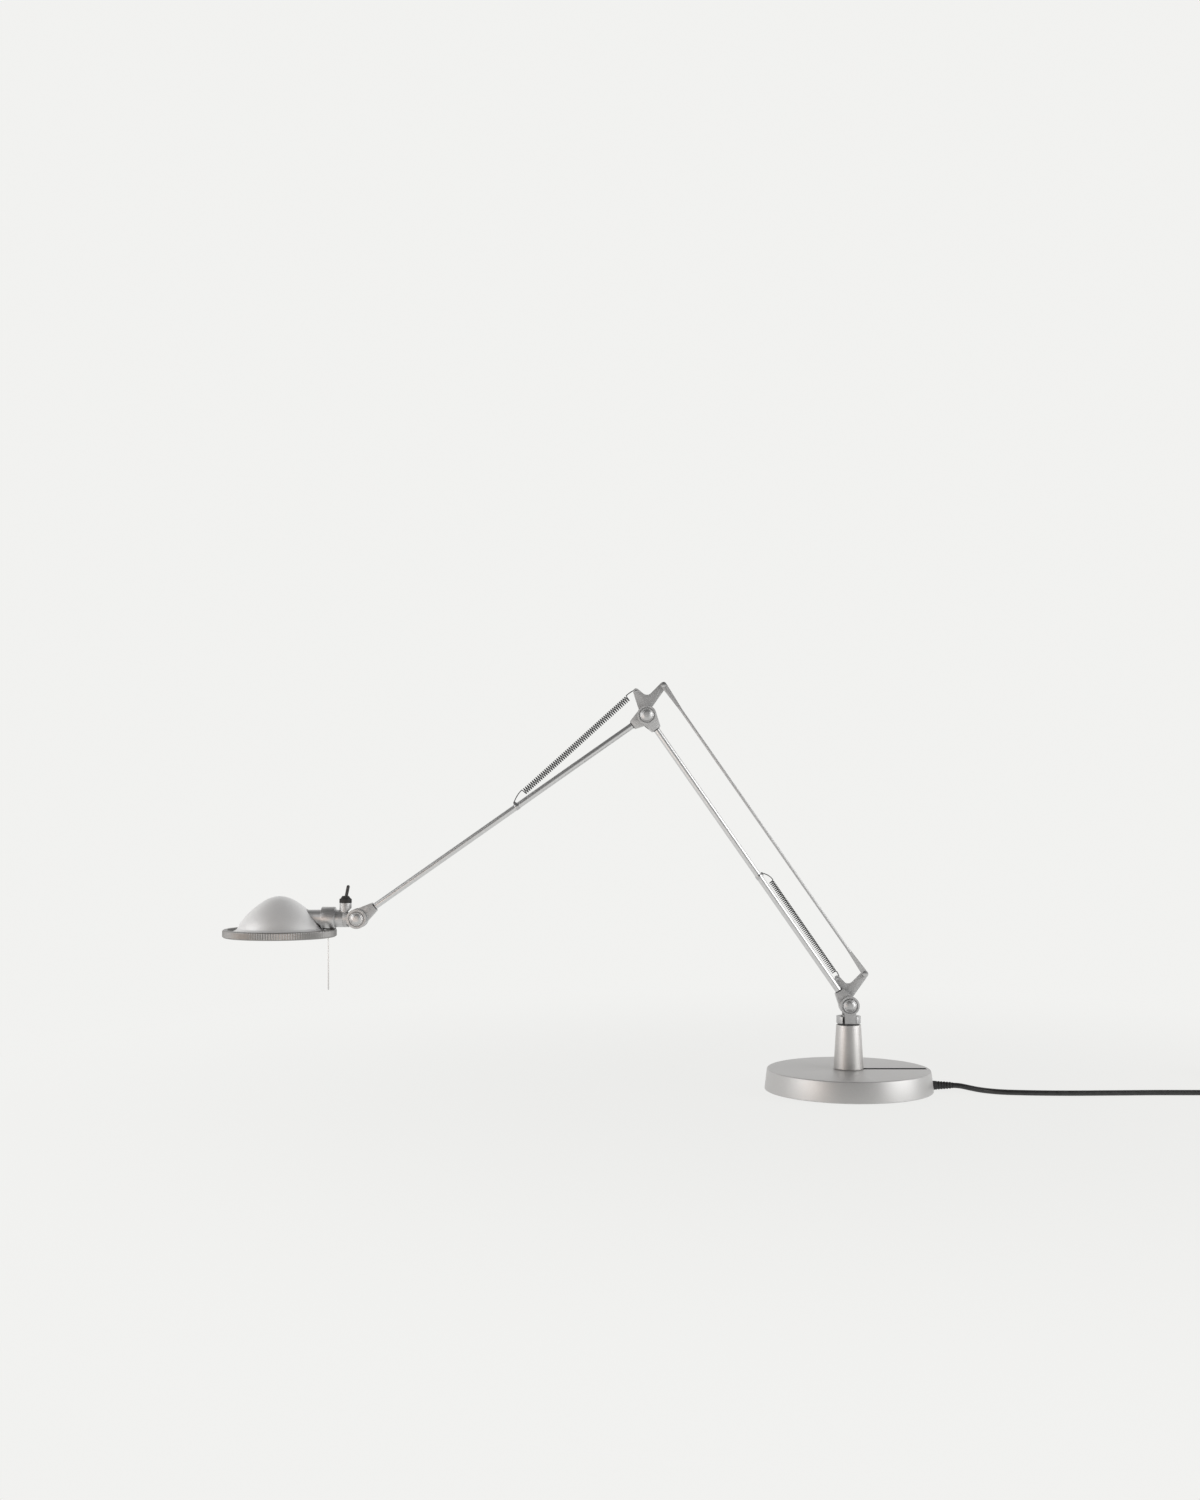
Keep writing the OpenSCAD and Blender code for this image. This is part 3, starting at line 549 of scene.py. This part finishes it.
joints = {joint["name"]: joint for joint in frame["joints"]}
base_pivot = Vector(joints["lower_arm_tilt"]["pos_m"])
elbow_pivot = Vector(joints["upper_arm_swing"]["pos_m"])
head_pivot = Vector(joints["head_tilt"]["pos_m"])
lower_along = (elbow_pivot - base_pivot).normalized()
lower_up = Vector((lower_along.z, 0, -lower_along.x))
upper_along = (head_pivot - elbow_pivot).normalized()
upper_up = Vector((upper_along.z, 0, -upper_along.x))
spring("lower_spring_coil", base_pivot, lower_along, lower_up,
       ((0.033, 0.0075), (0.144, 0.0077)), ((0.027, 0.0070), (0.155, 0.0042)),
       0.00275, 0.00045, 0.0019, (0.0018, 0.0013), (0.003, 0.006),
       "lower_spring")
spring("upper_spring_coil", elbow_pivot, upper_along, upper_up,
       ((0.0045, 0.0251), (0.1436, 0.0080)), ((-0.0055, 0.0259), (0.157, 0.0042)),
       0.0034, 0.00048, 0.00233, (0.0019, 0.0013), (0.005, 0.006),
       "upper_spring")

# ---------------------------------------------------------------- pivot caps
# Turned alloy caps over the pivot pins: a domed middle inside a fine step.


def cap_pair(name, node, material):
    """Two domed caps on one pivot, facing away from each other."""
    low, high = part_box(node)
    radius = (high.x - low.x) / 2
    height = 0.0027
    shape = bmesh.new()
    for face_y, side in ((low.y + height, -1), (high.y - height, 1)):
        part = spun(rounded([
            (0, 0), (radius, 0), (radius, 0.0011), (radius - 0.0006, 0.0015),
            (radius - 0.0011, 0.0012), (radius - 0.0016, 0.0016), (radius * 0.45, height - 0.0002),
            (0, height)], 0.0005, closed=False), 48, closed=False)
        data = bpy.data.meshes.new("cap")
        part.to_mesh(data)
        part.free()
        data.transform(Matrix.Translation(((low.x + high.x) / 2, face_y, (low.z + high.z) / 2))
                       @ Matrix.Rotation(math.radians(-90 * side), 4, "X"))
        shape.from_mesh(data)
        bpy.data.meshes.remove(data)
    bmesh.ops.recalc_face_normals(shape, faces=shape.faces[:])
    return finished(name, shape, material, nodes[node]["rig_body"], "arm_alloy", node)


for where in ("base", "elbow", "neck"):
    cap_pair(where + "_cap_pair", where + "_caps", head_silver)

# ---------------------------------------------------------------- shade ring
# Turned alloy ring with a coarse vertical knurl on its rim for grip, and a
# smooth chamfer above and below the knurl. Four small spokes hold it.
ring_low, ring_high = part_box("shade_ring")
shade = Vector(((ring_low.x + ring_high.x) / 2, 0, 0))
ring_r = (ring_high.x - ring_low.x) / 2
ring_inner = ring_r - 0.0048
RIBS = 140
rib_depth = 0.00055
ring = bmesh.new()
levels = [(ring_inner, ring_low.z, 0), (ring_r - 0.0012, ring_low.z, 0),
          (ring_r - 0.0004, ring_low.z + 0.0006, 0), (ring_r, ring_low.z + 0.0011, rib_depth),
          (ring_r, ring_high.z - 0.0011, rib_depth),
          (ring_r - 0.0004, ring_high.z - 0.0006, 0), (ring_r - 0.0012, ring_high.z, 0),
          (ring_inner, ring_high.z, 0)]
loops = []
for radius, height, cut in levels:
    circle = bmesh.ops.create_circle(ring, cap_ends=False, radius=radius, segments=RIBS * 2,
                                     matrix=Matrix.Translation((0, 0, height)))["verts"]
    for v in circle[::2]:
        v.co.x *= 1 - cut / radius
        v.co.y *= 1 - cut / radius
    loops.append(list({e for v in circle for e in v.link_edges}))
for lower_loop, upper_loop in zip(loops, loops[1:] + loops[:1]):
    bmesh.ops.bridge_loops(ring, edges=lower_loop + upper_loop)
bmesh.ops.translate(ring, vec=shade, verts=ring.verts[:])
bmesh.ops.recalc_face_normals(ring, faces=ring.faces[:])
finished("knurled_ring", ring, ring_silver, "head", "head_alloy", "shade_ring", crease=12)

# ---------------------------------------------------------------- dome
# Spun alloy dome over the lamp, satin finished, with a small flared lip at its
# foot and a hole in the back for the collar's stub.
dome_low, dome_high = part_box("dome_cover")
skirt_z = dome_low.z
dome_h = dome_high.z - dome_low.z
STUB_HOLE_R = 0.0091
dome_outline = [(0.0455, 0), (0.0449, 0.0005), (0.0438, 0.0010), (0.0424, 0.0018), (0.0415, 0.0026),
                (0.0409, 0.0036), (0.0398, 0.0056), (0.0380, 0.0086), (0.0358, 0.0118), (0.0332, 0.0150),
                (0.0305, 0.0179), (0.0275, 0.0208), (0.0240, 0.0238), (0.0200, 0.0268), (0.0160, 0.0295),
                (0.0120, 0.0317), (0.0080, 0.0332), (0.0040, 0.0342), (0, dome_h)]
inner_outline = [(max(r - 0.0008, 0), z - 0.0007 if z > 0.001 else z) for r, z in dome_outline]
dome = spun(dome_outline + inner_outline[::-1], 160, closed=False)
bmesh.ops.translate(dome, vec=shade + Vector((0, 0, skirt_z)), verts=dome.verts[:])
bmesh.ops.holes_fill(dome, edges=[e for e in dome.edges if e.is_boundary])
bmesh.ops.recalc_face_normals(dome, faces=dome.faces[:])
dome_satin = mottled("dome_satin_silver", (grey(0.80), grey(0.83)), 900, (0.44, 0.52), metallic=0.6,
                     grain=2400, depth=0.000002)
dome_piece = finished("dome", dome, dome_satin, "head", "head_alloy", "dome_cover", crease=50)
cutter = bmesh.new()
bmesh.ops.create_cone(cutter, cap_ends=True, segments=96, radius1=STUB_HOLE_R, radius2=STUB_HOLE_R,
                      depth=0.03, matrix=Matrix.Translation((shade.x + 0.038, 0, head_pivot.z))
                      @ Matrix.Rotation(math.radians(90), 4, "Y"))
cutter_data = bpy.data.meshes.new("cutter")
cutter.to_mesh(cutter_data)
cutter.free()
cutter_piece = bpy.data.objects.new("cutter", cutter_data)
bpy.context.scene.collection.objects.link(cutter_piece)
hole = dome_piece.modifiers.new("hole", "BOOLEAN")
hole.object = cutter_piece
hole.operation = "DIFFERENCE"
hole.solver = "EXACT"
bpy.context.view_layer.update()
cut_mesh = bpy.data.meshes.new_from_object(dome_piece.evaluated_get(bpy.context.evaluated_depsgraph_get()))
dome_piece.modifiers.clear()
dome_piece.data = cut_mesh
bpy.data.objects.remove(cutter_piece)

# ---------------------------------------------------------------- neck, collar and switch
# Turned tube and collar in satin silver with broken edges. The switch lever is
# black; it stands in a ribbed rubber boot on the fork's short turret.
for part, width in (("head_collar", 0.0006), ("neck_tube", 0.0002), ("ring_spokes", 0.0002)):
    softened(part, head_silver, "head_alloy", width)
softened("collar_pad", black_plastic, "black_plastic", 0.0002)
boot_low, boot_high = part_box("switch_boot")
boot_x = (boot_low.x + boot_high.x) / 2
boot_h = boot_high.z - boot_low.z
boot_r = (boot_high.x - boot_low.x) / 2
boot = spun(rounded([(0, 0), (boot_r, 0), (boot_r, 0.0038), (boot_r - 0.0006, 0.0043), (0.0046, 0.0046),
                     (0.0047, 0.0050), (0.0042, 0.0053), (0.0043, 0.0057), (0.0038, 0.0060),
                     (0.0034, boot_h), (0.00275, boot_h), (0.0026, 0.0012), (0, 0.0012)],
                    0.0004, closed=False), 64, closed=False)
bmesh.ops.translate(boot, vec=(boot_x, 0, boot_low.z), verts=boot.verts[:])
finished("ribbed_boot", boot, black_rubber, "neck", "black_rubber", "switch_boot")
softened("switch_lever", black_plastic, "black_plastic", 0.0001)

# ---------------------------------------------------------------- lamp under the dome
# Spun bright reflector, frosted cover glass with an eased edge, ceramic holder,
# and a clear quartz capsule for the lamp.
bowl = [(0.0406, 0.0), (0.0399, 0.0004), (0.0378, 0.0009), (0.0350, 0.0017), (0.0306, 0.0041),
        (0.0260, 0.0068), (0.0200, 0.0098), (0.0150, 0.0122), (0.0110, 0.0140)]
reflector = spun(bowl + [(r + 0.0002, z + 0.0007) for r, z in bowl[::-1]], 128)
bmesh.ops.translate(reflector, vec=shade + Vector((0, 0, skirt_z)), verts=reflector.verts[:])
finished("reflector_bowl", reflector, mirror, "head", "reflector_metal", "reflector", crease=50)
lens_low, lens_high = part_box("lens")
lens_r = (lens_high.x - lens_low.x) / 2
lens = spun(rounded([(0, lens_low.z), (lens_r, lens_low.z), (lens_r, lens_high.z), (0, lens_high.z)],
                    0.0005, closed=False), 128, closed=False)
bmesh.ops.translate(lens, vec=shade, verts=lens.verts[:])
finished("cover_glass", lens, frosted, "head", "lamp_glass", "lens")
bulb_low, bulb_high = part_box("bulb")
bulb_r = (bulb_high.x - bulb_low.x) / 2
capsule = spun([(0, bulb_low.z), (bulb_r * 0.5, bulb_low.z + 0.0006), (bulb_r * 0.87, bulb_low.z + 0.0023),
                (bulb_r, bulb_low.z + bulb_r), (bulb_r, bulb_high.z - 0.002),
                (bulb_r * 0.9, bulb_high.z), (0, bulb_high.z)], 48, closed=False)
bmesh.ops.translate(capsule, vec=shade, verts=capsule.verts[:])
quartz = mottled("clear_quartz", (grey(0.95), grey(0.98)), 200, (0.02, 0.06),
                 Transmission_Weight=0.95, IOR=1.46)
finished("quartz_capsule", capsule, quartz, "head", "lamp_glass", "bulb", crease=60)
softened("lamp_holder", ceramic, "ceramic", 0.0006)

# ---------------------------------------------------------------- handle rod
# Thin bright rod with a small turned ball at its end, hung under the ring's
# edge: the hand turns the head with it when the ring is hot.
rod_low, rod_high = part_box("handle_rod")
rod_r = 0.00065
handle = spun(rounded([(0, 0), (rod_r * 0.8, 0.0002), (rod_r + 0.0001, 0.0007), (rod_r * 0.8, 0.0013),
                       (rod_r, 0.0017), (rod_r, rod_high.z - rod_low.z), (0, rod_high.z - rod_low.z)],
                      0.0002, closed=False), 24, closed=False)
bmesh.ops.translate(handle, vec=((rod_low.x + rod_high.x) / 2, 0, rod_low.z), verts=handle.verts[:])
finished("handle", handle, bright_steel, "head", "steel", "handle_rod")

# ---------------------------------------------------------------- cord gland, tie and adaptor
# Moulded rubber gland with flex rings, a black tie round the coil, and a moulded
# plug-in adaptor with two round steel pins.
gland_low, gland_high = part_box("cord_gland")
gland_z = (gland_low.z + gland_high.z) / 2
gland_from = cover_r + 0.0001
gland_len = gland_high.x - gland_from
RINGS = 6
flex = [(0, -0.0020), (0.0038, -0.0020), (0.0038, 0), (0.0044, 0), (0.0044, 0.0022)]
step = (gland_len - 0.0032) / RINGS
for k in range(RINGS):
    z = 0.0026 + k * (gland_len - 0.0032) / RINGS
    r = 0.0043 - 0.0012 * k / RINGS
    flex += [(r, z), (r, z + step * 0.55), (r - 0.0006, z + step * 0.62), (r - 0.0006, z + step * 0.93)]
flex += [(0.0031, gland_len), (0, gland_len)]
gland = spun(rounded(flex, 0.0002, closed=False), 40, closed=False)
bmesh.ops.rotate(gland, cent=(0, 0, 0), verts=gland.verts[:],
                 matrix=Matrix.Rotation(math.radians(90), 3, "Y"))
bmesh.ops.translate(gland, vec=(gland_from, 0, gland_z), verts=gland.verts[:])
gland_piece = finished("gland", gland, black_rubber, "base", "black_rubber", "cord_gland")
tie_piece = softened("cord_tie", black_plastic, "black_plastic", 0.0004)
adaptor_piece = softened("adaptor_body", black_plastic, "black_plastic", 0.0025)
pins_piece = softened("adaptor_pins", bright_steel, "steel", 0.0006)
